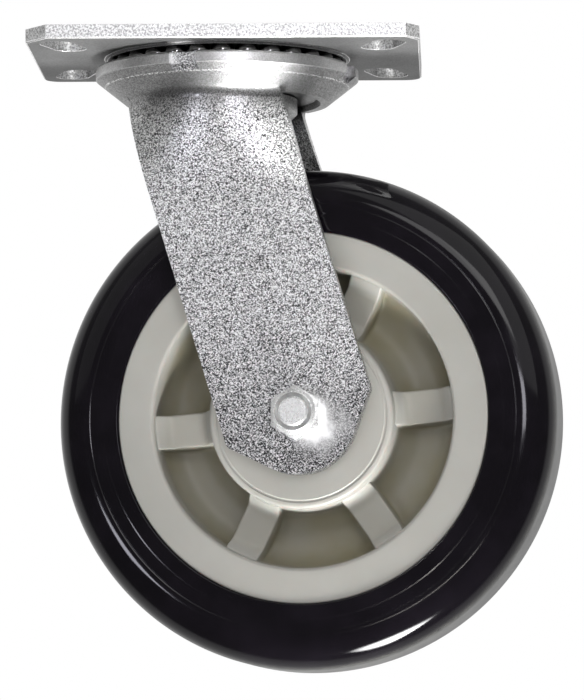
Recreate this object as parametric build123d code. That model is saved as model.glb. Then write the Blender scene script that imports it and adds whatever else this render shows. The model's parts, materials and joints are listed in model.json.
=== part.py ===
from build123d import *
import math
import os

# Swivel plate caster with a 203 mm wheel, in millimetres.
# Origin: centre of the plate's mounting face, on the swivel axis. +Z is up, +X is the trail side.
# The fork and all it carries rest turned by REST_TURN about the swivel axis.

# ---- driving dimensions ------------------------------------------------------------------
PLATE_X, PLATE_Y, PLATE_T = 158.75, 114.3, 5.75
SLOT_INNER = (62.7, 31.0)      # slot end centres, plate's inner bolt pattern
SLOT_OUTER = (66.7, 42.9)      # slot end centres, plate's outer bolt pattern
SLOT_R = 6.9
REST_TURN = -7.0               # degrees about +Z
LEAD, AXLE_Z = 35.0, -155.6
WHEEL_R, WHEEL_W = 101.6, 50.8

BALL_R, BALL_COUNT, RACE_R, BALL_Z = 4.7625, 28, 43.5, -8.6
LOW_BALL_R, LOW_BALL_COUNT, LOW_RACE_R, LOW_BALL_Z = 3.175, 18, 20.0, -24.5
RACE_GAP = 0.12                # clearance between a ball and its groove

STEEL_T = 6.0                  # fork metal
LEG_OUT = 38.0                 # outer face of a leg from the fork's middle plane
LEG_IN = LEG_OUT - STEEL_T
RIM_R, RIM_TOP, RIM_LOW = 53.9, -10.0, -14.5
NECK_R, NECK_Z = 42.0, -24.0   # lower edge of the fork base's cone
WEB_TOP, WEB_LOW = -16.0, -22.0
LEG_LEAN = 17.2                # degrees from vertical
LEG_HALF_W = 31.2
LEG_END_R = 24.2               # round end about the axle
LEG_FLAT_Z = -66.0             # below this the leg is flat

PIN_R, PIN_THREAD_R = 9.0, 8.0
CUP_R, CUP_LOW = 28.8, -31.0
AXLE_R, SLEEVE_R = 6.0, 8.5
HUB_R, HUB_HALF = 37.3, 29.5
BEARING_R, BEARING_W, BEARING_FACE = 20.0, 12.0, 29.0
CORE_R, CORE_HALF = 75.2, 24.6


# ---- helpers -----------------------------------------------------------------------------
def save(node, shape):
    """One STEP file per physical piece."""
    export_step(shape, f"parts/{node}.step")


def turned(points):
    """Solid of revolution about Z of a closed (radius, height) outline."""
    return revolve(Plane.XZ * make_face(Polyline(*points, close=True)), Axis.Z)


def ring(inner_r, outer_r, low, high):
    """Plain ring between two heights."""
    return turned([(inner_r, low), (outer_r, low), (outer_r, high), (inner_r, high)])


def torus(pitch_r, tube_r, height):
    """Groove cutter for a row of balls."""
    return Pos(0, 0, height) * Torus(pitch_r, tube_r)


def ball_row(count, pitch_r, ball_r, height, start=0.0):
    """Separate balls, evenly spaced on a circle about Z."""
    spots = [start + 360 / count * i for i in range(count)]
    return [Rot(0, 0, a) * Pos(pitch_r, 0, height) * Sphere(ball_r) for a in spots]


def hexagon(across_flats, low, high):
    """Hexagonal bar, corners along Y, with both ends' corners turned off at 30 degrees."""
    half = across_flats / 2
    corner = half / math.cos(math.pi / 6)
    drop = (corner - half * 0.97) * math.tan(math.radians(30))
    flat_ends = RegularPolygon(half, 6, major_radius=False, rotation=30)
    bar = Pos(0, 0, low) * extrude(flat_ends, high - low)
    outline = [(0, low), (half * 0.97, low), (corner, low + drop), (corner, high - drop)]
    return bar & turned(outline + [(half * 0.97, high), (0, high)])


def on_fork(shape):
    """From the fork's own frame to its rest place."""
    return Rot(0, 0, REST_TURN) * shape


def on_axle(shape):
    """From the axle's frame (axle along Z, nut end up) to its rest place."""
    return on_fork(Pos(LEAD, 0, AXLE_Z) * Rot(90, 0, 0) * shape)


def both_sides(shape):
    """A piece and its mirror image in the wheel's middle plane."""
    return [shape, mirror(shape, Plane.XY)]


# ---- plate and kingpin -------------------------------------------------------------------
def plate_outline():
    """Rectangle with two clipped near corners and two rounded far corners."""
    x, y = PLATE_X / 2, PLATE_Y / 2
    left_clip, right_clip, far_round = (9.0, 12.0), (5.4, 8.0), 7.0
    corners = [(-x, -y + left_clip[1]), (-x + left_clip[0], -y), (x - right_clip[0], -y)]
    corners += [(x, -y + right_clip[1]), (x, y), (-x, y)]
    face = make_face(Polyline(*corners, close=True))
    return fillet(face.vertices().group_by(Axis.Y)[-1], far_round)


def slot(sx, sy):
    """Bolt slot between the inner and the outer hole pattern, in one corner."""
    ends = [(sx * SLOT_INNER[0], sy * SLOT_INNER[1]), (sx * SLOT_OUTER[0], sy * SLOT_OUTER[1])]
    return SlotCenterToCenter(math.dist(*ends), 2 * SLOT_R), ends


def top_plate():
    """Plate with four slots, a countersunk pin hole and a raised ring round the upper ball groove."""
    plate = Pos(0, 0, -PLATE_T) * extrude(plate_outline(), PLATE_T)
    plate = chamfer(plate.edges().group_by(Axis.Z)[0], 0.5)
    for sx in (-1, 1):
        for sy in (-1, 1):
            shape, ends = slot(sx, sy)
            angle = math.degrees(math.atan2(ends[1][1] - ends[0][1], ends[1][0] - ends[0][0]))
            middle = Pos((ends[0][0] + ends[1][0]) / 2, (ends[0][1] + ends[1][1]) / 2, -2 * PLATE_T)
            plate -= middle * Rot(0, 0, angle) * extrude(shape, 3 * PLATE_T)
    recess_r, recess_z, ring_r, ring_t, slope = 46.5, -PLATE_T + 0.9, 50.3, 0.9, 1.1
    plate -= turned([(0, -2 * PLATE_T), (recess_r, -2 * PLATE_T), (recess_r, recess_z),
                     (0, recess_z)])
    plate += turned([(recess_r, recess_z), (ring_r, recess_z), (ring_r, -PLATE_T),
                     (ring_r - slope, -PLATE_T - ring_t), (recess_r, -PLATE_T - ring_t)])
    plate -= torus(RACE_R, BALL_R + RACE_GAP, BALL_Z)
    return plate - pin_body()


def pin_body():
    """Kingpin: flush countersunk head, plain shank, shoulder and threaded end."""
    head_r, head_t, shoulder_z, end_z = 14.0, 4.5, -24.0, -49.5
    return turned([(0, 0), (head_r, 0), (PIN_R, -head_t), (PIN_R, shoulder_z),
                   (PIN_THREAD_R, shoulder_z), (PIN_THREAD_R, end_z + 1.5),
                   (PIN_THREAD_R - 1.5, end_z), (0, end_z)])


def lower_race_cup():
    """Dished cup that carries the lower balls and is clamped on the pin's shoulder."""
    lip_z, floor_z, shoulder_z = -22.6, -24.0, -28.3
    lip_in, floor_r, foot_r = 24.6, 15.0, 26.0
    cup = turned([(PIN_THREAD_R, CUP_LOW), (foot_r, CUP_LOW), (CUP_R, shoulder_z), (CUP_R, lip_z),
                  (lip_in, lip_z), (lip_in - 1, floor_z), (floor_r, floor_z),
                  (PIN_THREAD_R, floor_z)])
    return cup - torus(LOW_RACE_R, LOW_BALL_R + RACE_GAP, LOW_BALL_Z)


def kingpin_set():
    """Pin, spring washer and hexagon nut under the cup."""
    washer_t, washer_r, nut_t, nut_flats = 3.0, 13.0, 13.0, 24.0
    washer_z = CUP_LOW - washer_t
    split = Pos(0, 10, washer_z) * Rot(0, 30, 0) * Box(1.2, 14, 12)
    save("kingpin", pin_body())
    save("kingpin_washer", ring(PIN_THREAD_R, washer_r, washer_z, CUP_LOW) - split)
    nut = hexagon(nut_flats, washer_z - nut_t, washer_z)
    save("kingpin_nut", nut - Pos(0, 0, washer_z) * Cylinder(PIN_THREAD_R, 4 * nut_t))


# ---- fork --------------------------------------------------------------------------------
def fork_base():
    """Pressed round base: rim, cone below it, ball grooves and four stop notches."""
    edge, land_z, pan_r = 0.9, -11.0, 34.5
    inner_r, bore_r, foot = 37.5, 10.0, 3.6
    base = turned([(RIM_R - edge, RIM_TOP), (RIM_R, RIM_TOP - edge), (RIM_R, RIM_LOW),
                   (NECK_R, NECK_Z), (NECK_R - foot, NECK_Z), (NECK_R - foot - 2, WEB_LOW),
                   (bore_r, WEB_LOW), (bore_r, WEB_TOP), (pan_r, WEB_TOP), (inner_r, land_z),
                   (RACE_R, land_z), (RACE_R + BALL_R, RIM_TOP)])
    base -= torus(RACE_R, BALL_R + RACE_GAP, BALL_Z)
    base -= torus(LOW_RACE_R, LOW_BALL_R + RACE_GAP, LOW_BALL_Z)
    notch_w, notch_r, notch_turn = 11.5, 50.0, -10.0
    for quarter in range(4):
        cutter = Pos(notch_r + 10, 0, RIM_LOW) * Box(20, notch_w, 40)
        base -= Rot(0, 0, notch_turn + 90 * quarter) * cutter
    return base


def leg_outline():
    """Leaning leg seen from the side: parallel edges, two corners and a round end."""
    lean = math.radians(LEG_LEAN)
    along = Vector(math.sin(lean), -math.cos(lean))
    across = Vector(math.cos(lean), math.sin(lean))
    axle = Vector(LEAD, AXLE_Z)
    rise = (WEB_TOP - AXLE_Z) / math.cos(lean) + 20
    left_low = axle - across * LEG_HALF_W + along * 4.0
    right_low = axle + across * LEG_HALF_W - along * 1.0
    left_touch = tangent_point(left_low, axle, LEG_END_R, 1)
    right_touch = tangent_point(right_low, axle, LEG_END_R, -1)
    end = axle + Vector(0, -LEG_END_R)
    left_top, right_top = left_low - along * rise, right_low - along * rise
    path = Line(left_top, left_low) + Line(left_low, left_touch)
    path += ThreePointArc(left_touch, end, right_touch)
    path += Line(right_touch, right_low) + Line(right_low, right_top) + Line(right_top, left_top)
    face = make_face(path)
    corners = [v for v in face.vertices() if min((v.center() - left_low).length,
                                                 (v.center() - right_low).length) < 0.1]
    return fillet(corners, 3.0)


def tangent_point(point, centre, radius, side):
    """Where the tangent from a point touches a circle."""
    reach = point - centre
    turn = math.atan2(reach.Y, reach.X) + side * math.acos(radius / reach.length)
    return centre + Vector(math.cos(turn), math.sin(turn)) * radius


def bent_section(z):
    """Level cut through the leg's metal: round like the neck at the top, flat further down."""
    s = (NECK_Z - z) / (NECK_Z - LEG_FLAT_Z)
    ease = s * s * (3 - 2 * s)
    bend = (1 - ease) / NECK_R + ease / 4000
    front = -LEG_OUT - (NECK_R - LEG_OUT) * (1 - ease)
    radius = 1 / bend
    half_angle = 45.0 / radius
    centre = Vector(0, front + radius, z)

    def spot(r, angle):
        return centre + Vector(math.sin(angle), -math.cos(angle)) * r

    outer, inner = radius, radius - STEEL_T
    edges = [ThreePointArc(spot(outer, -half_angle), spot(outer, 0), spot(outer, half_angle)),
             Line(spot(outer, half_angle), spot(inner, half_angle)),
             ThreePointArc(spot(inner, half_angle), spot(inner, 0), spot(inner, -half_angle)),
             Line(spot(inner, -half_angle), spot(outer, -half_angle))]
    return Wire(edges)


def leg():
    """Near leg: wrapped round the neck at its top, flat from there to the axle hole."""
    levels = [NECK_Z + (LEG_FLAT_Z - NECK_Z) * i / 5 for i in range(6)]
    bent = Solid.make_loft([bent_section(z) for z in levels])
    flat = Pos(LEAD / 2, -(LEG_OUT + LEG_IN) / 2, LEG_FLAT_Z - 75) * Box(200, STEEL_T, 150)
    root = turned([(NECK_R - STEEL_T, NECK_Z), (NECK_R, NECK_Z), (NECK_R, NECK_Z + 4),
                   (NECK_R - STEEL_T, NECK_Z + 4)])
    blank = extrude(Plane.XZ * leg_outline(), 60)
    shape = (bent + flat + root) & blank
    hole = Pos(LEAD, -LEG_OUT, AXLE_Z) * Rot(90, 0, 0) * Cylinder(AXLE_R + 0.25, 40)
    return shape - hole


def fork():
    """One pressed piece: round base with two legs."""
    near = leg()
    return fork_base() + near + mirror(near, Plane.XZ)


# ---- axle --------------------------------------------------------------------------------
def axle_set():
    """Bolt, lock nut with its plastic ring, sleeve and end washers."""
    flats, head_t, nut_t, nut_hex_t = 19.0, 7.5, 12.0, 8.0
    collar_r, insert_r, insert_t, lip_t, tip = 8.9, 7.7, 2.8, 0.7, 0.8
    nut_top = LEG_OUT + nut_t
    bolt = turned([(0, -LEG_OUT), (AXLE_R, -LEG_OUT), (AXLE_R, nut_top + 0.6 - tip),
                   (AXLE_R - tip, nut_top + 0.6), (0, nut_top + 0.6)])
    save("axle_bolt", on_axle(bolt + hexagon(flats, -LEG_OUT - head_t, -LEG_OUT)))
    insert = ring(AXLE_R, insert_r, nut_top - lip_t - insert_t, nut_top - lip_t)
    collar = turned([(0, LEG_OUT + nut_hex_t), (collar_r, LEG_OUT + nut_hex_t),
                     (collar_r, nut_top - 1.2), (collar_r - 1.2, nut_top), (0, nut_top)])
    nut = hexagon(flats, LEG_OUT, LEG_OUT + nut_hex_t) + collar
    nut -= Pos(0, 0, LEG_OUT) * Cylinder(AXLE_R, 4 * nut_t)
    mouth = Pos(0, 0, nut_top) * Cylinder(insert_r - 0.15, 2 * lip_t)
    save("axle_nut", on_axle(nut - insert - mouth))
    save("axle_nut_insert", on_axle(insert))
    save("axle_sleeve", on_axle(ring(AXLE_R + 0.2, SLEEVE_R, -LEG_IN, LEG_IN)))
    washer = ring(SLEEVE_R + 0.1, 12.0, BEARING_FACE, LEG_IN)
    save("axle_end_washers", on_axle(Compound(both_sides(washer))))


def bearings():
    """Two shielded deep-groove ball bearings and the spacer between their inner rings."""
    middle = BEARING_FACE - BEARING_W / 2
    low, high = BEARING_FACE - BEARING_W, BEARING_FACE
    ball_r, ball_count, pitch_r = 3.3735, 8, 14.25
    inner_r, outer_r, shield_in, shield_t, sunk = 11.9, 17.0, 12.2, 0.5, 0.6
    groove = torus(pitch_r, ball_r + 0.05, middle)
    inner = ring(SLEEVE_R, inner_r, low, high) - groove
    outer = ring(outer_r, BEARING_R, low, high) - groove
    shields = []
    for face in (low + sunk, high - sunk - shield_t):
        shields += both_sides(ring(shield_in, outer_r, face, face + shield_t))
    balls = ball_row(ball_count, pitch_r, ball_r, middle)
    pockets = ball_row(ball_count, pitch_r, ball_r + 0.12, middle)
    cage = ring(pitch_r - 1.0, pitch_r + 1.0, middle - 1.8, middle + 4.2)
    for pocket in pockets:
        cage -= pocket
    save("bearing_inner_rings", on_axle(Compound(both_sides(inner))))
    save("bearing_outer_rings", on_axle(Compound(both_sides(outer))))
    save("bearing_shields", on_axle(Compound(shields)))
    save("bearing_balls", on_axle(Compound(balls + [mirror(b, Plane.XY) for b in balls])))
    save("bearing_cages", on_axle(Compound(both_sides(cage))))
    save("bearing_spacer", on_axle(ring(SLEEVE_R, 11.0, -low, low)))


# ---- wheel -------------------------------------------------------------------------------
def rib(angle):
    """Spoke on both faces, dipped between the hub and the rim."""
    rib_w, hub_h, dip_h, rim_h = 13.7, 22.5, 16.0, 20.0
    inside, hub_foot, rim_foot, outside = HUB_R - 3, 42.0, 56.0, 64.0
    half = [(inside, 0), (inside, hub_h), (HUB_R, hub_h), (hub_foot, dip_h)]
    half += [(rim_foot, dip_h), (61.0, rim_h), (outside, rim_h), (outside, 0)]
    face = make_face(Polyline(*half, close=True))
    upper = Pos(0, rib_w / 2, 0) * extrude(Plane.XZ * face, rib_w)
    return Rot(0, 0, angle) * (upper + mirror(upper, Plane.XY))


def wheel_core():
    """Moulded core: hub with two bearing seats, middle web, six spokes a side and the rim."""
    rib_count, first_rib = 6, 5.0
    seat_z, stop_r = BEARING_FACE - BEARING_W, 16.5
    web_h, web_in, web_out, rim_in = 4.5, 44.0, 54.0, 61.0
    edge = 1.5
    half = [(stop_r, 0), (stop_r, seat_z), (BEARING_R, seat_z), (BEARING_R, HUB_HALF),
            (HUB_R - edge, HUB_HALF), (HUB_R, HUB_HALF - edge), (HUB_R + 0.6, web_h + 6),
            (web_in, web_h), (web_out, web_h), (rim_in - 1.2, web_h + 6), (rim_in, CORE_HALF),
            (CORE_R, CORE_HALF), (CORE_R, 0)]
    upper = turned(half)
    core = upper + mirror(upper, Plane.XY)
    for number in range(rib_count):
        core += rib(first_rib + 360 / rib_count * number)
    return core


def tyre():
    """Moulded tread: flat sidewall, a crease, large round shoulders and a flat running face."""
    side_r, flat_half, side_z = 87.5, 10.5, WHEEL_W / 2
    crown = Polyline((CORE_R, side_z - 0.8), (CORE_R + 0.8, side_z), (side_r, side_z))
    shoulder_r = math.hypot(WHEEL_R - side_r, side_z - flat_half) / math.sqrt(2)
    outline = crown + RadiusArc((side_r, side_z), (WHEEL_R, flat_half), shoulder_r)
    outline += Line((WHEEL_R, flat_half), (WHEEL_R, 0)) + Line((WHEEL_R, 0), (CORE_R, 0))
    outline += Line((CORE_R, 0), (CORE_R, side_z - 0.8))
    upper = revolve(Plane.XZ * make_face(outline), Axis.Z)
    return upper + mirror(upper, Plane.XY)


def main():
    os.makedirs("parts", exist_ok=True)
    save("top_plate", top_plate())
    kingpin_set()
    save("lower_race_cup", lower_race_cup())
    upper = ball_row(BALL_COUNT, RACE_R, BALL_R, BALL_Z)
    lower = ball_row(LOW_BALL_COUNT, LOW_RACE_R, LOW_BALL_R, LOW_BALL_Z)
    save("upper_race_balls", Compound(upper))
    save("lower_race_balls", Compound(lower))
    save("fork", on_fork(fork()))
    axle_set()
    bearings()
    save("wheel_core", on_axle(wheel_core()))
    save("tyre", on_axle(tyre()))


main()
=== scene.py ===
import json
import math
import bmesh
import bpy
import numpy as np
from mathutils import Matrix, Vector


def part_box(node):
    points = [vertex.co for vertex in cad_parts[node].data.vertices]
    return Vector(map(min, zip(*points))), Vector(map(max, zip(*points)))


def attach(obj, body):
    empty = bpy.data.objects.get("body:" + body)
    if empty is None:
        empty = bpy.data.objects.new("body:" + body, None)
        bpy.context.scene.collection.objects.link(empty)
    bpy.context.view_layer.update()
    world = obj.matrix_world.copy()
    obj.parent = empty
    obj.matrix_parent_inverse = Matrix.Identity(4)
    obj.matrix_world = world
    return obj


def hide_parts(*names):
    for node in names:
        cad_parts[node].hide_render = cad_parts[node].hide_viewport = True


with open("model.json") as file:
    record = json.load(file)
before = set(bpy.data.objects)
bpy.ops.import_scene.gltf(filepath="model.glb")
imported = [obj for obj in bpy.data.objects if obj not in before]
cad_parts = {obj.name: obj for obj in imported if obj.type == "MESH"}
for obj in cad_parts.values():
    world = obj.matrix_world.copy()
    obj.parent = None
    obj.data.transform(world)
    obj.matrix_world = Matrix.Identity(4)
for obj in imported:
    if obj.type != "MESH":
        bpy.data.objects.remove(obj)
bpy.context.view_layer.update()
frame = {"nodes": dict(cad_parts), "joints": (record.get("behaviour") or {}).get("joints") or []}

MM = 0.001
WALL_BEHIND, WALL_ABOVE, WALL_LOW = 0.85, 0.32, 0.13   # how bright the studio walls are
SPOKES, SPOKE_START = 6, 5.0    # spokes a side, and the first one's angle in degrees
HUB_OUT, RIM_IN, CORE_OUT = 37.3, 61.0, 75.2    # radii of the hub, and of the rim inside and out, mm
POCKET_IN, POCKET_OUT = 37.0, 61.3    # radii between which the core has spokes and pockets, mm

# ---- the wheel's own frame: x to the trail side, y up, z along the axle to the nut ----------
spin = next(j for j in frame["joints"] if j["name"] == "wheel_spin")
axle_dir = -Vector(spin["axis"]).normalized()
tyre_low, tyre_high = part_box("tyre")
axle_mid = (tyre_low + tyre_high) / 2
across_dir = Vector((0, 0, 1)).cross(axle_dir).normalized()
WHEEL_TURN = np.array([across_dir, (0, 0, 1), axle_dir])
WHEEL_MID = np.array(axle_mid)


def in_wheel(points):
    """Millimetres in the wheel's frame to metres in the shared frame: middle + x, y, z along its axes."""
    return WHEEL_MID + MM * points @ WHEEL_TURN


# ---- surfaces worked out on a grid ------------------------------------------------------------
NEARLY_STRAIGHT = 1.55    # half of a corner's inner angle, in radians, past which it isn't rounded


def rounded_line(points, steps=6):
    """Outline through (a, b, radius) corners. Each corner becomes an arc of its radius, tangent to
    both runs: the arc's centre lies on the bisector at radius / sin(half the inner angle)."""
    parts = []
    for before, here, after in zip(points[:-2], points[1:-1], points[2:]):
        corner = np.array(here[:2], float)
        back = np.array(before[:2], float) - corner
        ahead = np.array(after[:2], float) - corner
        back /= np.linalg.norm(back)
        ahead /= np.linalg.norm(ahead)
        half = math.acos(max(-1.0, min(1.0, float(back @ ahead)))) / 2
        radius = here[2]
        if radius <= 0 or half > NEARLY_STRAIGHT:
            parts.append(corner[None, :])
            continue
        middle = corner + (back + ahead) / np.linalg.norm(back + ahead) * radius / math.sin(half)
        first = corner + back * radius / math.tan(half) - middle
        last = corner + ahead * radius / math.tan(half) - middle
        sweep = math.pi - 2 * half
        t = np.linspace(0, 1, steps + 1)[:, None]
        arc = (np.sin((1 - t) * sweep) * first + np.sin(t * sweep) * last) / math.sin(sweep)
        parts.append(middle + arc)
    start, end = np.array([points[0][:2]], float), np.array([points[-1][:2]], float)
    return np.concatenate([start, *parts, end])


def finer(line, longest):
    """The same outline with runs longer than `longest` cut into equal lengths."""
    parts = []
    for a, b in zip(line[:-1], line[1:]):
        count = max(1, int(math.ceil(np.linalg.norm(b - a) / longest)))
        parts.append(a + (b - a) * np.linspace(0, 1, count + 1)[:-1, None])
    return np.concatenate([*parts, line[-1:]])


def mirrored(half):
    """A half outline from the middle plane outwards and back, closed by its mirror image."""
    other = half[::-1] * np.array([1, -1])
    return np.concatenate([half, other[1:-1]])


def grid_faces(rows, columns):
    """Quads of a grid that closes on itself both ways: (i, j), (i, j+1), (i+1, j+1), (i+1, j)."""
    i, j = np.meshgrid(np.arange(rows), np.arange(columns), indexing="ij")
    down, right = (i + 1) % rows, (j + 1) % columns
    quad = np.stack([i * columns + j, i * columns + right, down * columns + right, down * columns + j], -1)
    return quad.reshape(-1, 4)


def make_piece(name, points, faces, body, node, slot, sharp, depth):
    """A mesh piece from arrays, with the body that it rides on, the node it stands for, its slot's
    finish, the angle in degrees past which an edge is sharp, and a value at each point for the finish."""
    mesh = bpy.data.meshes.new(name)
    mesh.from_pydata(points.tolist(), [], faces.tolist())
    layer = mesh.attributes.new("depth", "FLOAT", "POINT")
    layer.data.foreach_set("value", depth.astype(np.float32).ravel())
    mesh.update()
    mesh.polygons.foreach_set("use_smooth", np.ones(len(mesh.polygons), bool))
    mesh.set_sharp_from_angle(angle=math.radians(sharp))
    mesh.materials.append(FINISHES[slot])
    piece = bpy.data.objects.new(name, mesh)
    bpy.context.scene.collection.objects.link(piece)
    outward(mesh)
    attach(piece, body)
    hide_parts(node)
    return piece


def outward(mesh):
    """Turns all faces to point out of the closed shell."""
    work = bmesh.new()
    work.from_mesh(mesh)
    bmesh.ops.recalc_face_normals(work, faces=work.faces)
    work.to_mesh(mesh)
    work.free()


def turned_points(outline, count):
    """Outline (radius, height) turned about the axle: x = r cos, y = r sin, z = height."""
    angle = np.linspace(0, 2 * math.pi, count, endpoint=False)
    radius, height = outline[:, :1], outline[:, 1:]
    x, y = radius * np.cos(angle), radius * np.sin(angle)
    return np.stack([x, y, np.broadcast_to(height, x.shape)], -1).reshape(-1, 3)


# ---- finishes ---------------------------------------------------------------------------------
def add_node(tree, kind, inputs, **settings):
    """A node with its settings, and each input a number, a colour or another node's output."""
    made = tree.nodes.new(kind)
    for key, value in settings.items():
        setattr(made, key, value)
    for key, value in inputs.items():
        feed(tree, made.inputs[key], value)
    return made


def feed(tree, socket, value):
    """Links another node's output to a socket, or sets the socket's own value."""
    if isinstance(value, bpy.types.NodeSocket):
        tree.links.new(value, socket)
    else:
        socket.default_value = value


class Finish:
    """A procedural material, built up node by node."""

    def __init__(self, name):
        self.material = bpy.data.materials.new(name)
        self.material.use_nodes = True
        self.tree = self.material.node_tree
        self.shader = self.tree.nodes["Principled BSDF"]
        self.place = self.tree.nodes.new("ShaderNodeTexCoord").outputs["Object"]

    def put(self, kind, inputs, **settings):
        """A node in this material."""
        return add_node(self.tree, kind, inputs, **settings)

    def cloud(self, size_mm, detail=2.0, rough=0.5, stretch=None):
        """Soft noise with grains of about this size."""
        place = self.place
        if stretch:
            place = self.put("ShaderNodeMapping", {"Vector": place, "Scale": stretch}).outputs[0]
        return self.put("ShaderNodeTexNoise", {"Vector": place, "Scale": 1 / (size_mm * MM),
                                               "Detail": detail, "Roughness": rough}).outputs[0]

    def grains(self, size_mm):
        """Random value for each cell of about this size."""
        cells = self.put("ShaderNodeTexVoronoi", {"Vector": self.place, "Scale": 1 / (size_mm * MM)})
        return self.put("ShaderNodeSeparateColor", {0: cells.outputs["Color"]}).outputs[0]

    def depth(self):
        """The value that a made piece carries at each point, from 0 to 1."""
        return self.put("ShaderNodeAttribute", {}, attribute_name="depth").outputs["Fac"]

    def span(self, value, low, high, to_low, to_high):
        """Straight-line change of range, held at its ends."""
        return self.put("ShaderNodeMapRange", {"Value": value, "From Min": low, "From Max": high,
                                               "To Min": to_low, "To Max": to_high}).outputs[0]

    def blend(self, amount, first, second, mode="MIX"):
        """Two colours mixed by an amount."""
        made = self.put("ShaderNodeMix", {0: amount, 6: first, 7: second}, data_type="RGBA",
                        blend_type=mode)
        return made.outputs[2]

    def between(self, amount, first, second):
        """Two values mixed by an amount."""
        return self.put("ShaderNodeMix", {0: amount, 2: first, 3: second}).outputs[0]

    def times(self, first, second):
        """Two values multiplied."""
        return self.sums(first, second, "MULTIPLY")

    def less(self, first, second):
        """The second value taken from the first."""
        return self.sums(first, second, "SUBTRACT")

    def sums(self, first, second, operation="ADD"):
        """Two values joined by an operation."""
        return self.put("ShaderNodeMath", {0: first, 1: second}, operation=operation).outputs[0]

    def relief(self, height, depth_mm, strength=1.0):
        """Surface relief of a given depth."""
        return self.put("ShaderNodeBump", {"Height": height, "Distance": depth_mm * MM,
                                           "Strength": strength}).outputs[0]

    def shade(self, **inputs):
        """Sets or links the shader's inputs and gives the material."""
        for key, value in inputs.items():
            feed(self.tree, self.shader.inputs[key.replace("_", " ")], value)
        return self.material


def colour(level, warm=0.0):
    """Grey with a little warmth."""
    return (level * (1 + warm), level, level * (1 - 1.5 * warm), 1)


def zinc(name, dark, light, grain_mm, contrast, rough, relief_mm, metal=1.0):
    """Zinc plating: fine bright and dark grains over slow clouds, with matching roughness."""
    f = Finish(name)
    fine = f.cloud(grain_mm, detail=1.0, rough=0.6)
    level = f.span(fine, 0.5 - contrast, 0.5 + contrast, 0, 1)
    tone = f.blend(level, colour(dark), colour(light, 0.004))
    dull = f.span(fine, 0.35, 0.65, rough + 0.08, rough - 0.08)
    return f.shade(Base_Color=tone, Metallic=metal, Roughness=dull, Normal=f.relief(fine, relief_mm))


def near(f, spot, radius_mm, soft_mm):
    """1 inside a ball about a spot on the object, fading to 0 past its rippled edge."""
    away = f.put("ShaderNodeVectorMath", {0: f.place, 1: spot}, operation="DISTANCE").outputs["Value"]
    ripple_mm = 3.5
    ripple = f.span(f.cloud(7, detail=3.0), 0.3, 0.7, -ripple_mm, ripple_mm)
    away = f.sums(f.times(away, 1 / MM), ripple)
    return f.span(away, radius_mm, radius_mm + soft_mm, 1, 0)


def fork_finish():
    """Zinc on pressed steel: hard fine grain on the legs, drawn smooth over the round base, and a few slow
    clouds. Painted light on top: a painted highlight beside the lock nut, the rim's upright band painted
    lighter than the cone below it, and the legs painted lighter towards the top and darker towards the
    foot. Heights and distances are in metres."""
    neck_low, neck_high = -0.036, -0.024            # where the legs run into the round base
    wall_in, wall_out = 0.0500, 0.0504              # distance from the kingpin to the base's rim wall
    rim_low, rim_high = -0.0180, -0.0176            # underside of the base's rim
    edge_low, edge_high = -0.0150, -0.0142          # top edge of the base's rim
    beside_nut = (0.0375, -0.0428, -0.1592)
    leg_foot, leg_mid = -0.190, -0.125
    f = Finish("zinc_fork")
    place = f.put("ShaderNodeSeparateXYZ", {0: f.place}).outputs
    height = place[2]
    level_way = f.put("ShaderNodeCombineXYZ", {0: place[0], 1: place[1], 2: 0.0}).outputs[0]
    reach = f.put("ShaderNodeVectorMath", {0: level_way}, operation="LENGTH").outputs["Value"]
    base = f.span(height, neck_low, neck_high, 0, 1)
    notch = f.times(f.span(reach, wall_in, wall_out, 1, 0), f.span(height, rim_low, rim_high, 0, 1))
    # painted highlight: a bright, smooth, less grainy patch beside the lock nut
    nut_highlight = near(f, beside_nut, radius_mm=6.0, soft_mm=9.0)
    calm = f.sums(f.times(base, 0.86), nut_highlight, "MAXIMUM")
    calm = f.less(calm, f.times(notch, 0.7))
    coarse, slow = f.cloud(0.75, detail=2.0), f.cloud(24, detail=3.0)
    speck = f.sums(f.times(f.grains(0.38), 0.8), f.times(f.span(coarse, 0.3, 0.7, 0, 1), 0.2))
    # painted shade: more dark grains towards the foot of the legs
    darker_low = f.span(height, leg_foot, leg_mid, 0.16, 0.0)
    hard = f.span(f.less(speck, darker_low), 0.26, 0.78, 0, 1)
    # painted light: the rim's upright band painted lighter than the cone below it
    rim_band_painted_light = f.span(height, edge_low, edge_high, 0.10, 0.46)
    plain = f.between(nut_highlight, rim_band_painted_light, 1.0)
    tone = f.blend(f.between(calm, hard, plain), colour(0.03), colour(1.0, 0.002))
    # slow clouds times painted light: the legs painted lighter towards the top and darker towards the foot
    cloud = f.times(f.span(slow, 0.3, 0.7, 0.88, 1.10), f.span(height, -0.175, -0.05, 0.88, 1.22))
    cloud = f.put("ShaderNodeCombineColor", {0: cloud, 1: cloud, 2: cloud}).outputs[0]
    tone = f.blend(1.0, tone, cloud, "MULTIPLY")
    dull = f.less(f.span(speck, 0.2, 0.8, 0.46, 0.34), f.times(calm, 0.04))
    metal = f.less(1.0, f.times(nut_highlight, 0.30))
    relief = f.relief(coarse, 0.12, f.span(calm, 0, 1, 1, 0.2))
    return f.shade(Base_Color=tone, Metallic=metal, Roughness=dull, Normal=relief)


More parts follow.
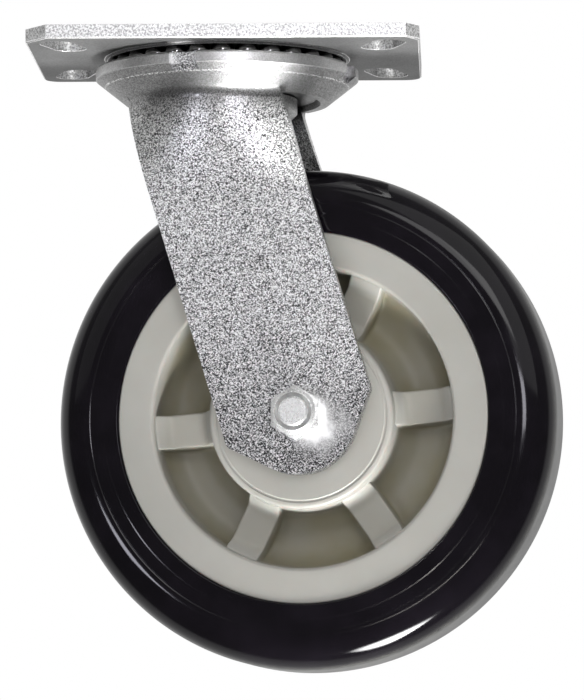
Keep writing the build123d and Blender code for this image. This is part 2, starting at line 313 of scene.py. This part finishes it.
def plate_finish():
    """Zinc on rolled plate: grey and smooth on the rolled faces, which are level, and bright and
    speckled on the sheared edges."""
    f = Finish("zinc_plate")
    normal = f.put("ShaderNodeNewGeometry", {}).outputs["Normal"]
    upright = f.put("ShaderNodeSeparateXYZ", {0: normal}).outputs[2]
    rolled = f.span(f.times(upright, upright), 0.25, 0.6, 0, 1)
    fine, slow = f.cloud(0.75, detail=1.0), f.cloud(30, detail=3.0)
    speck = f.span(fine, 0.36, 0.6, 0, 1)
    edge = f.blend(speck, colour(0.34), colour(0.76))
    face = f.blend(f.span(slow, 0.35, 0.65, 0, 1), colour(0.165), colour(0.26))
    face = f.blend(f.times(speck, 0.12), face, colour(0.5))
    tone = f.blend(rolled, edge, face)
    dull = f.less(f.span(fine, 0.35, 0.65, 0.42, 0.34), f.times(rolled, 0.06))
    metal = f.span(rolled, 0, 1, 0.9, 0.7)
    return f.shade(Base_Color=tone, Metallic=metal, Roughness=dull, Specular_Tint=(0.3, 0.3, 0.3, 1),
                   Specular_IOR_Level=0.2, Normal=f.relief(fine, 0.03))


def smooth_steel(name, level, rough, stretch=None, metal=1.0):
    """Turned or rolled steel with fine drawn lines and faint stains."""
    f = Finish(name)
    lines = f.cloud(0.9, detail=3.0, stretch=stretch)
    stains = f.cloud(9, detail=3.0)
    tone = f.blend(f.span(stains, 0.35, 0.7, 0, 1), colour(level), colour(level * 0.8, 0.02))
    dull = f.span(lines, 0.3, 0.7, rough - 0.06, rough + 0.08)
    return f.shade(Base_Color=tone, Metallic=metal, Roughness=dull, Normal=f.relief(lines, 0.02))


def tread_finish():
    """Cast polyurethane: near black with a violet cast, glossy sides with fine orange peel, and a
    running face rubbed duller and greyer, its grey partly wear and partly painted reflection."""
    f = Finish("black_polyurethane")
    across = f.depth()
    clouds, peel, rub = f.cloud(16, detail=4.0), f.cloud(1.8, detail=2.0), f.cloud(3.5, detail=4.0)
    side = f.blend(f.span(clouds, 0.4, 0.7, 0, 1), (0.0036, 0.0029, 0.0042, 1), (0.0058, 0.0046, 0.0068, 1))
    # running face: grey partly from wear and partly painted reflection of the bright studio at grazing
    # angles
    face = f.blend(f.span(rub, 0.35, 0.7, 0, 1), (0.018, 0.0175, 0.016, 1), (0.042, 0.041, 0.037, 1))
    tone = f.blend(across, side, face)
    dull = f.sums(f.span(clouds, 0.3, 0.7, 0.07, 0.11), f.times(across, 0.22))
    return f.shade(Base_Color=tone, Roughness=dull, Specular_IOR_Level=0.22, IOR=1.5,
                   Normal=f.relief(peel, 0.010, 0.5))


def core_finish():
    """Moulded nylon: warm off-white with faint flow marks, and painted shade that turns it darker and
    browner deep in the pockets.
    """
    f = Finish("off_white_nylon")
    depth = f.depth()
    flow = f.cloud(22, detail=3.0)
    fine = f.cloud(0.7, detail=2.0)
    face = f.blend(f.span(flow, 0.3, 0.7, 0, 1), (0.312, 0.306, 0.280, 1), (0.290, 0.284, 0.257, 1))
    # painted shade: darker, browner colour deep in the pockets
    pocket_shade = f.blend(f.span(flow, 0.35, 0.65, 0, 1), (0.212, 0.194, 0.130, 1), (0.234, 0.222, 0.174, 1))
    tone = f.blend(f.span(depth, 0.2, 0.95, 0, 1), face, pocket_shade)
    dull = f.span(fine, 0.3, 0.7, 0.38, 0.46)
    return f.shade(Base_Color=tone, Roughness=dull, Subsurface_Weight=0.06, Subsurface_Scale=0.004,
                   Specular_IOR_Level=0.35, Normal=f.relief(fine, 0.01))


def insert_finish():
    """Nylon locking ring: milky grey plastic with a slight mottle."""
    f = Finish("grey_nylon_ring")
    mottle = f.cloud(1.6, detail=2.0)
    tone = f.blend(f.span(mottle, 0.3, 0.7, 0, 1), (0.25, 0.25, 0.245, 1), (0.34, 0.34, 0.33, 1))
    return f.shade(Base_Color=tone, Roughness=f.span(mottle, 0.3, 0.7, 0.4, 0.5), Subsurface_Weight=0.1,
                   Subsurface_Scale=0.002, Normal=f.relief(mottle, 0.02))


def cage_finish():
    """Bearing cage plastic: dark brown-black with a matte grain."""
    f = Finish("dark_cage_nylon")
    grain = f.cloud(0.6, detail=2.0)
    tone = f.blend(grain, (0.02, 0.016, 0.012, 1), (0.05, 0.04, 0.03, 1))
    return f.shade(Base_Color=tone, Roughness=f.span(grain, 0.3, 0.7, 0.45, 0.6),
                   Normal=f.relief(grain, 0.02))


FINISHES = {
    "plate_steel": plate_finish(),
    "fork_steel": fork_finish(),
    "pin_steel": smooth_steel("kingpin_steel", 0.55, 0.35),
    "cup_steel": zinc("zinc_cup", 0.22, 0.5, 0.9, 0.2, 0.4, 0.05),
    # balls darkened partly for grease and partly as painted shade in the race's gap
    "ball_steel": smooth_steel("greased_balls_painted_shade", 0.22, 0.10),
    "bolt_steel": zinc("zinc_bolt", 0.62, 1.0, 1.6, 0.2, 0.30, 0.02, 0.75),
    "bearing_steel": smooth_steel("bearing_steel", 0.6, 0.22),
    "shield_steel": smooth_steel("shield_steel", 0.5, 0.3),
    # painted highlight: brighter zinc for rounded edges, standing in for the light caught along them
    "painted_edge_highlight": zinc("zinc_edge_painted_highlight", 0.7, 1.0, 0.6, 0.15, 0.30, 0.02, 0.7),
    "insert_plastic": insert_finish(),
    "cage_plastic": cage_finish(),
    "core_plastic": core_finish(),
    "tread": tread_finish(),
}


# ---- tyre and wheel core -----------------------------------------------------------------------
def smooth(t):
    """Smooth step from 0 to 1."""
    t = np.clip(t, 0, 1)
    return t * t * (3 - 2 * t)


def tyre_outline():
    """Half section: seat on the core, thin lip, flat side with one raised line, crease, quarter-round
    shoulder and flat running face."""
    seat, crease, top = CORE_OUT, 87.5, 101.6    # radii of the core's rim, of the crease and the tread
    side, flat = 25.4, 10.5                      # half widths over the sides and of the running face
    start = [(seat, 0, 0), (seat, side - 0.7, 0.5), (seat + 0.7, side, 0.4), (81.3, side, 0.5),
             (81.8, side - 0.05, 0.5), (82.5, side - 0.05, 0.5), (83.0, side, 0.5),
             (crease - 1.1, side, 0.3), (crease - 0.75, side - 0.12, 0.2), (crease - 0.4, side, 0.3),
             (crease - 0.1, side, 0.0)]
    low = rounded_line(start, 4)
    turn = np.radians(np.linspace(0, 90, 32))
    rise, width = top - crease, side - flat
    arc = np.stack([crease + rise * np.sin(turn), flat + width * np.cos(turn)], -1)
    return np.concatenate([low, arc, [[top, 0]]])


def tyre():
    """The half section mirrored in the wheel's middle plane and turned about the axle."""
    outline = mirrored(finer(tyre_outline(), 4.0))
    count = 300
    points = in_wheel(turned_points(outline, count))
    # the running face, whose grey is partly wear and partly painted reflection
    running_from, running_over = 100.2, 1.2
    running = np.repeat(smooth((outline[:, 0] - running_from) / running_over), count)
    faces = grid_faces(len(outline), count)
    return make_piece("tyre_tread", points, faces, "wheel", "tyre", "tread", sharp=60, depth=running)


def rib_height(r):
    """Top of a spoke: level in the middle, swept up to the hub and to the rim."""
    level, level_in, level_out = 16.0, 42.2, 54.8
    to_hub = 6.5 * smooth((level_in - r) / (level_in - HUB_OUT))
    to_rim = 4.8 * smooth((r - level_out) / (RIM_IN - level_out))
    return level + to_hub + to_rim


def core_outline():
    """Half section without spokes: bore, bearing seat, hub face with a fine groove, hub wall, dished
    pocket floor, rim wall and rim face, each corner with its own radius."""
    bore, seat, face = 16.5, 20, 29.5      # radii of bore and bearing seat, half width over the hub
    web, rim_face = 4.2, 24.6              # half thickness of the web, half width over the rim
    corners = [(bore, 0, 0), (bore, 17, 0), (seat, 17, 0), (seat, face, 0.7), (33.9, face, 0.3),
               (34.3, 29.15, 0.2), (34.9, 29.15, 0.2), (35.2, 29.35, 0.2), (HUB_OUT, 29.1, 1.6),
               (38.3, web, 10.4), (59.7, web, 9.4), (RIM_IN, rim_face, 1.6),
               (CORE_OUT, rim_face, 0.7), (CORE_OUT, 0, 0)]
    return rounded_line(corners, 8)


def rib_columns():
    """Half of a spoke's cross section as columns: side offset, drop below the top and rise above the
    floor. Top edges and feet are arcs, and the wall between them leans out a little."""
    half, edge, foot, draft = 6.85, 0.8, 1.6, 0.35
    turn = np.radians(np.linspace(0, 90, 6))
    flat = np.linspace(0, half - edge, 4)[:-1]
    offset = [flat, half - edge + edge * np.sin(turn), half + draft + foot * (1 - np.cos(turn))]
    no_flat, no_arc = np.full(len(flat), np.nan), np.full(len(turn), np.nan)
    drop = [0 * flat, edge * (1 - np.cos(turn)), no_arc]
    rise = [no_flat, no_arc, foot * (1 - np.sin(turn))]
    return np.concatenate(offset), np.concatenate(drop), np.concatenate(rise)


def wheel_core():
    """Grid of section by angle. Inside a spoke's columns the angle is asin(offset / r), so its walls stay
    parallel, and beyond them it runs evenly to the middle of the pocket. The height is the larger of the
    floor and the spoke's section. The back is the front's mirror image."""
    outline = finer(core_outline(), 2.2)
    r, floor = outline[:, :1], outline[:, 1:]
    offset, drop, rise = rib_columns()
    beyond = np.linspace(0, 1, 9)[1:]
    half_sector = math.pi / SPOKES
    turn_in = np.arcsin(np.minimum(offset / r, 0.9))
    last = turn_in[:, -1:]
    half_turn = np.concatenate([turn_in, last + (half_sector - last) * beyond], 1)
    top = np.maximum(floor, rib_height(r))
    on_top = np.maximum(top - drop, floor)
    on_foot = np.minimum(floor + rise, top)
    ribbed = np.where(np.isnan(drop), on_foot, on_top)
    ribbed = np.where((r > POCKET_IN) & (r < POCKET_OUT), ribbed, floor)
    half_z = np.concatenate([ribbed, np.broadcast_to(floor, (len(r), len(beyond)))], 1)
    sector = np.concatenate([-half_turn[:, :0:-1], half_turn[:, :-1]], 1)
    sector_z = np.concatenate([half_z[:, :0:-1], half_z[:, :-1]], 1)
    starts = math.radians(SPOKE_START) + 2 * half_sector * np.arange(SPOKES)
    angle = (starts[None, :, None] + sector[:, None, :]).reshape(len(r), -1)
    height = np.tile(sector_z, (1, SPOKES))
    points = np.stack([r * np.cos(angle), r * np.sin(angle), height], -1)
    back = points[::-1][1:-1] * np.array([1, 1, -1])
    points = np.concatenate([points, back])
    radius = np.hypot(points[..., 0], points[..., 1])
    # how deep a point lies below the rim face, which the finish turns into painted shade in the pockets
    shallow, deepest, margin = 23.5, 6.5, 0.1
    within = (radius > POCKET_IN - margin) & (radius < POCKET_OUT + margin)
    depth = smooth((shallow - np.abs(points[..., 2])) / (shallow - deepest)) * within
    faces = grid_faces(points.shape[0], points.shape[1])
    return make_piece("wheel_centre", in_wheel(points.reshape(-1, 3)), faces, "wheel", "wheel_core",
                      "core_plastic", sharp=40, depth=depth)


# ---- metal pieces with worked edges --------------------------------------------------------------
def inner_crease(work):
    """Edges where a leg leaves the round base: level, on the neck's circle."""
    neck_height, neck_radius = -0.024, 0.042
    picked = []
    for edge in work.edges:
        ends = [v.co for v in edge.verts]
        level = all(abs(p.z - neck_height) < 0.2 * MM for p in ends)
        ringed = all(abs(math.hypot(p.x, p.y) - neck_radius) < 0.3 * MM for p in ends)
        if level and ringed and len(edge.link_faces) == 2 and not edge.is_convex:
            picked.append(edge)
    return picked


def edged(node, name, body, slot, edge_mm, segments=3, crease_mm=0.0, edge_slot=None):
    """The node's own shape with its flats joined up and its sharp edges rounded, and the rounded edges
    in a finish of their own if one is named; the one used is brighter zinc, a painted highlight along the
    edges."""
    same_point, flat_within, sharp_from = 0.002 * MM, math.radians(0.6), math.radians(28)
    work = bmesh.new()
    work.from_mesh(frame["nodes"][node].data)
    bmesh.ops.remove_doubles(work, verts=work.verts, dist=same_point)
    bmesh.ops.dissolve_limit(work, angle_limit=flat_within, verts=work.verts, edges=work.edges)
    if crease_mm:
        bmesh.ops.bevel(work, geom=inner_crease(work), offset=crease_mm * MM, segments=5, profile=0.5,
                        affect="EDGES")
    mesh = bpy.data.meshes.new(name)
    work.to_mesh(mesh)
    work.free()
    mesh.polygons.foreach_set("use_smooth", np.ones(len(mesh.polygons), bool))
    mesh.materials.append(FINISHES[slot])
    piece = bpy.data.objects.new(name, mesh)
    bpy.context.scene.collection.objects.link(piece)
    bevel = piece.modifiers.new("edges", "BEVEL")
    bevel.width, bevel.segments = edge_mm * MM, segments
    bevel.limit_method, bevel.angle_limit = "ANGLE", sharp_from
    bevel.harden_normals = False
    bevel.use_clamp_overlap = True
    bevel.miter_outer = "MITER_ARC"
    if edge_slot:
        mesh.materials.append(FINISHES[edge_slot])
        bevel.material = 1
    normals = piece.modifiers.new("faces", "WEIGHTED_NORMAL")
    normals.keep_sharp = True
    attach(piece, body)
    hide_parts(node)
    return piece


def dress_nodes():
    """Gives every CAD node the finish of its slot."""
    for name, slot in NODE_SLOTS.items():
        materials = frame["nodes"][name].data.materials
        materials.clear()
        materials.append(FINISHES[slot])


NODE_SLOTS = {
    "top_plate": "plate_steel", "kingpin": "pin_steel", "kingpin_washer": "pin_steel",
    "kingpin_nut": "bolt_steel", "lower_race_cup": "cup_steel", "upper_race_balls": "ball_steel",
    "lower_race_balls": "ball_steel", "fork": "fork_steel", "axle_bolt": "bolt_steel",
    "axle_nut": "bolt_steel", "axle_nut_insert": "insert_plastic", "axle_sleeve": "bearing_steel",
    "axle_end_washers": "bolt_steel", "bearing_inner_rings": "bearing_steel",
    "bearing_spacer": "bearing_steel", "bearing_balls": "ball_steel", "bearing_cages": "cage_plastic",
    "wheel_core": "core_plastic", "tyre": "tread", "bearing_outer_rings": "bearing_steel",
    "bearing_shields": "shield_steel",
}


# ---- camera, floor and lights --------------------------------------------------------------------
def camera():
    """Long lens, low and level with the wheel, tilted up a little."""
    data = bpy.data.cameras.new("studio_camera")
    data.lens, data.sensor_width, data.sensor_fit = 270.8, 36.0, "AUTO"
    data.clip_start, data.clip_end = 0.05, 60.0
    spot = bpy.data.objects.new("studio_camera", data)
    tilt_up, turn_left = 0.103, 0.033
    spot.location = (0.0972, -2.1376, -0.3467)
    spot.rotation_euler = (math.pi / 2 + tilt_up, 0.0, turn_left)
    bpy.context.scene.collection.objects.link(spot)
    bpy.context.scene.camera = spot


def floor():
    """Wide pale floor below the camera's height, plain and matt. Far out it glows up to the white of
    the studio's walls, so that no line shows where they meet."""
    size, height = 30.0, -0.44
    glow_from, glow_full = 1.2, 7.0
    mesh = bpy.data.meshes.new("studio_floor")
    corners = [(-size, -size, height), (size, -size, height), (size, size, height), (-size, size, height)]
    mesh.from_pydata(corners, [], [(0, 1, 2, 3)])
    f = Finish("pale_floor")
    cloud = f.cloud(600, detail=2.0)
    tone = f.blend(cloud, (0.80, 0.80, 0.79, 1), (0.84, 0.84, 0.835, 1))
    far = f.put("ShaderNodeVectorMath", {0: f.place}, operation="LENGTH").outputs["Value"]
    glow = f.span(far, glow_from, glow_full, 0, 0.75)
    mesh.materials.append(f.shade(Base_Color=tone, Roughness=0.7, Specular_IOR_Level=0.2,
                                  Emission_Color=(1, 1, 1, 1), Emission_Strength=glow))
    piece = bpy.data.objects.new("studio_floor", mesh)
    bpy.context.scene.collection.objects.link(piece)
    piece.visible_glossy = False


def softbox(name, direction, distance, size, power, tint=(1, 1, 1), aim=(0.03, 0, -0.13), spread=180):
    """Rectangular light, (width, height) in metres, at a distance along a direction from the point that
    it aims at, facing it. A grid narrows its spread, in degrees."""
    data = bpy.data.lights.new(name, "AREA")
    data.shape = "RECTANGLE"
    data.size, data.size_y = size
    data.energy, data.color, data.spread = power, tint, math.radians(spread)
    spot = bpy.data.objects.new(name, data)
    way = Vector(direction).normalized()
    spot.location = Vector(aim) + way * distance
    spot.rotation_euler = way.to_track_quat("Z", "Y").to_euler()
    spot.visible_camera = False
    bpy.context.scene.collection.objects.link(spot)


def surroundings():
    """Studio walls as light: white behind the object, grey overhead, dim below and on the camera's side.
    The camera itself sees plain white."""
    world = bpy.data.worlds.new("studio_light")
    world.use_nodes = True
    tree = world.node_tree

    def wall(way, low, high, to_low, to_high):
        return add_node(tree, "ShaderNodeMapRange",
                        {"Value": way, "From Min": low, "From Max": high, "To Min": to_low,
                         "To Max": to_high}, interpolation_type="SMOOTHSTEP").outputs[0]

    def brighter(first, second):
        return add_node(tree, "ShaderNodeMath", {0: first, 1: second}, operation="MAXIMUM").outputs[0]

    place = add_node(tree, "ShaderNodeTexCoord", {}).outputs["Generated"]
    parts = add_node(tree, "ShaderNodeSeparateXYZ", {0: place}).outputs
    behind = wall(parts["Y"], 0.0, 0.3, 0.0, WALL_BEHIND)
    above = wall(parts["Z"], -0.1, 0.8, WALL_LOW, WALL_ABOVE)
    seen = add_node(tree, "ShaderNodeLightPath", {}).outputs["Is Camera Ray"]
    back = tree.nodes["Background"]
    back.inputs["Color"].default_value = (1, 1, 1, 1)
    tree.links.new(brighter(brighter(behind, above), seen), back.inputs["Strength"])
    bpy.context.scene.world = world


def lights():
    """Softboxes to the left, to the right and in front, a small card low under the base, and three lamps
    in front for the glints on the tyre."""
    softbox("key_left", (-0.95, -0.75, 0.75), 2.8, (2.4, 2.4), 6)
    softbox("key_right", (0.55, -0.85, 0.75), 2.8, (2.8, 2.8), 24)
    softbox("front_fill", (0.10, -1.0, 0.42), 2.6, (1.2, 0.6), 9)
    softbox("low_card", (0.25, -0.24, -0.94), 0.38, (0.15, 0.20), 0.28, aim=(0.012, -0.05, -0.02),
            spread=26)
    softbox("glint_right", (0.126, -0.987, 0.110), 2.4, (0.46, 0.26), 6.5, (0.93, 0.91, 1),
            aim=(0.12, 0, -0.15))
    softbox("glint_low_left", (-0.506, -0.838, -0.115), 2.3, (0.36, 0.30), 7.0, (0.9, 0.9, 1))
    softbox("glint_low_right", (-0.10, -0.95, -0.115), 2.3, (0.42, 0.03), 1.2, (1, 0.97, 0.92))
    bpy.context.scene.view_settings.view_transform = "Standard"


camera()
floor()
surroundings()
lights()
dress_nodes()
tyre()
wheel_core()
edged("fork", "pressed_fork", "fork", "fork_steel", 0.7, crease_mm=3.0, edge_slot="painted_edge_highlight")
edged("top_plate", "mounting_plate", "plate", "plate_steel", 0.55, edge_slot="painted_edge_highlight")
edged("axle_nut", "lock_nut", "fork", "bolt_steel", 0.4, 2, edge_slot="painted_edge_highlight")
edged("axle_bolt", "through_bolt", "fork", "bolt_steel", 0.35, 2, edge_slot="painted_edge_highlight")
edged("lower_race_cup", "race_cup", "plate", "cup_steel", 0.5, 2)
